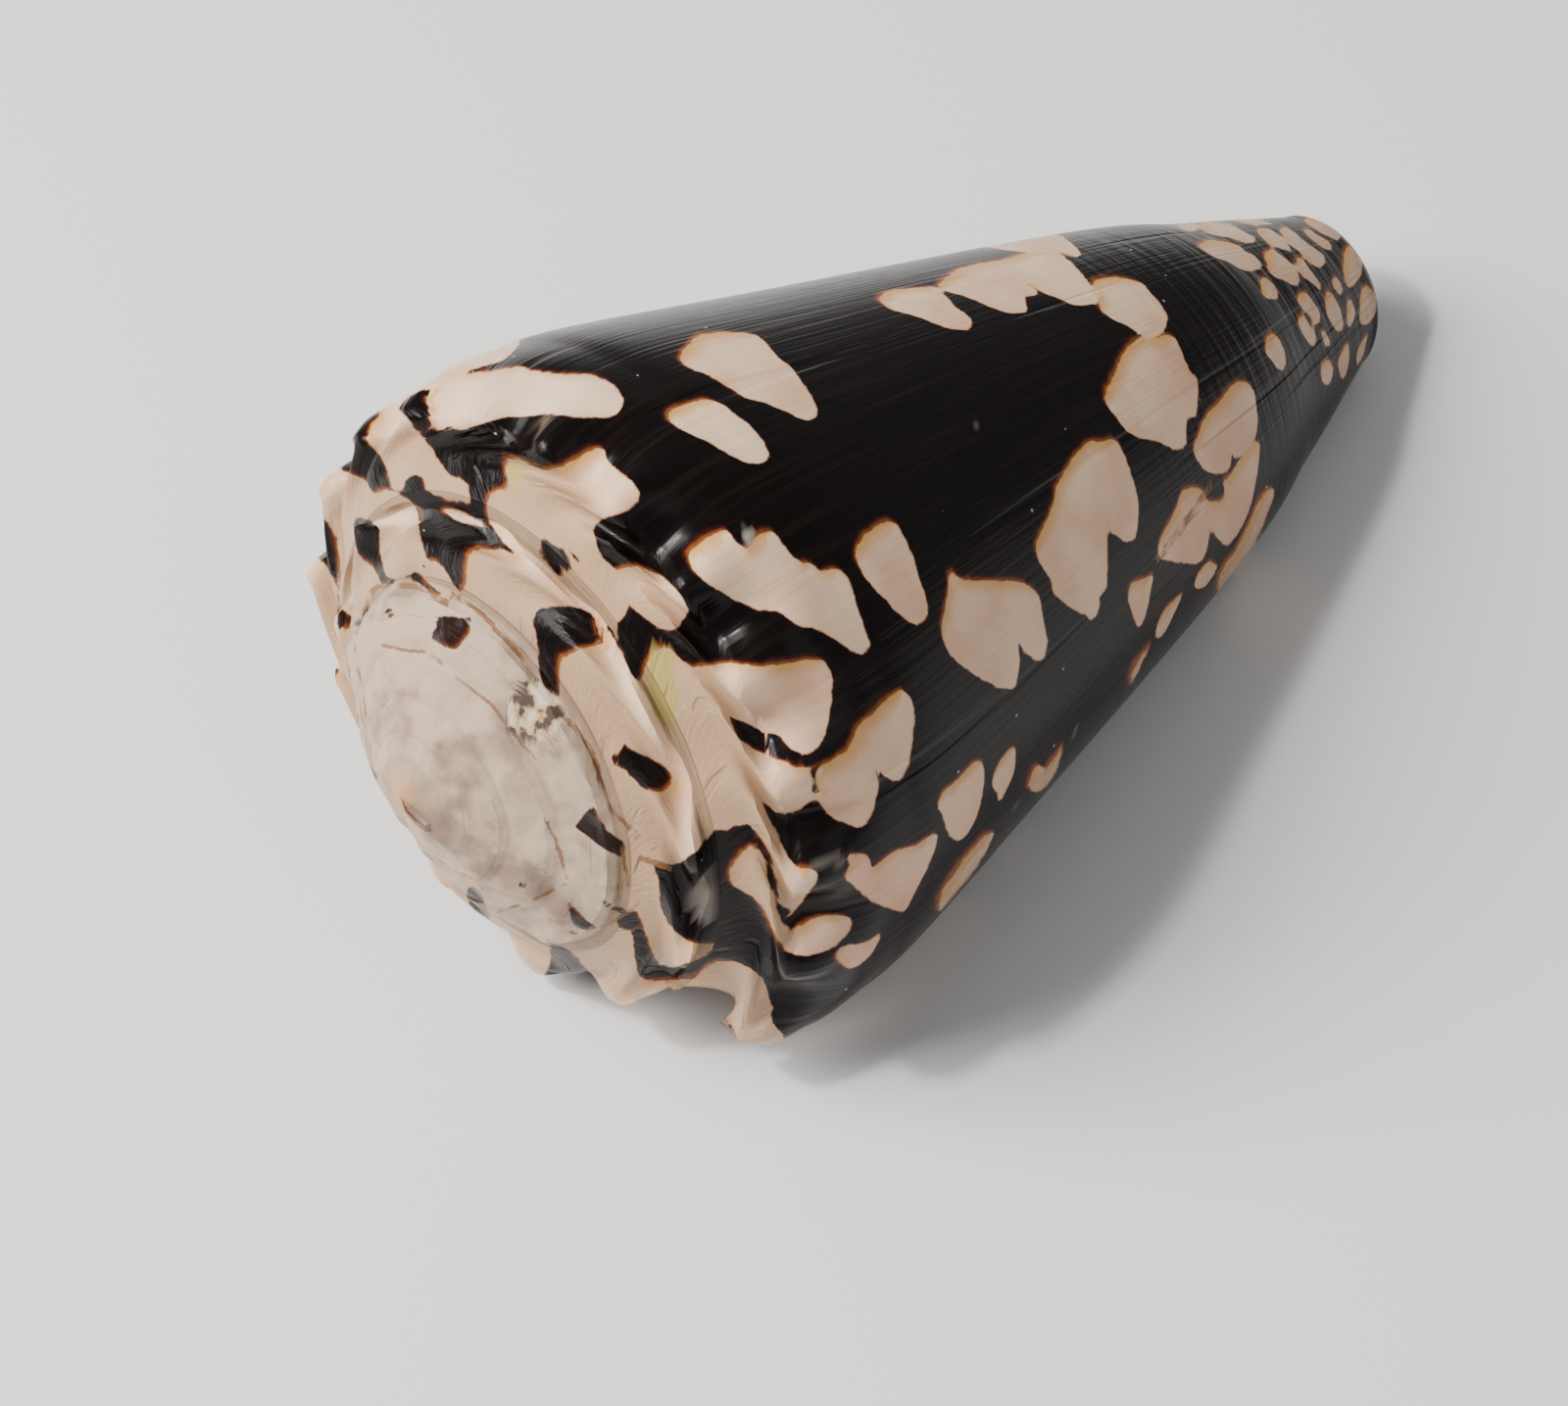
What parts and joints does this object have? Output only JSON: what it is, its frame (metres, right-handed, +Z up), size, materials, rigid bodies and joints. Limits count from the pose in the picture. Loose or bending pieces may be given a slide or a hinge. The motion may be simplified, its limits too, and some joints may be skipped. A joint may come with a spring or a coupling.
{
  "type": "cone shell",
  "caption": "Knobbed marine cone shell with a low worn spire, a tapering black body whorl with cream tent marks, and a narrow aperture; it lies aperture down.",
  "frame": {"origin": "centre of the bounding box's bottom, on the surface that the shell lies on", "axes": "+Z up; +X along the shell towards its narrow front end, with the spire at -X; the lip is down on the -Y side"},
  "size_m": [0.0518, 0.0288, 0.0264],
  "materials": {
    "shell": "polished natural shell, brown-black with cream to peach tent marks, spire worn to a whitish dome"
  },
  "bodies": {
    "root": {"shell": "shell"}
  },
  "joints": []
}
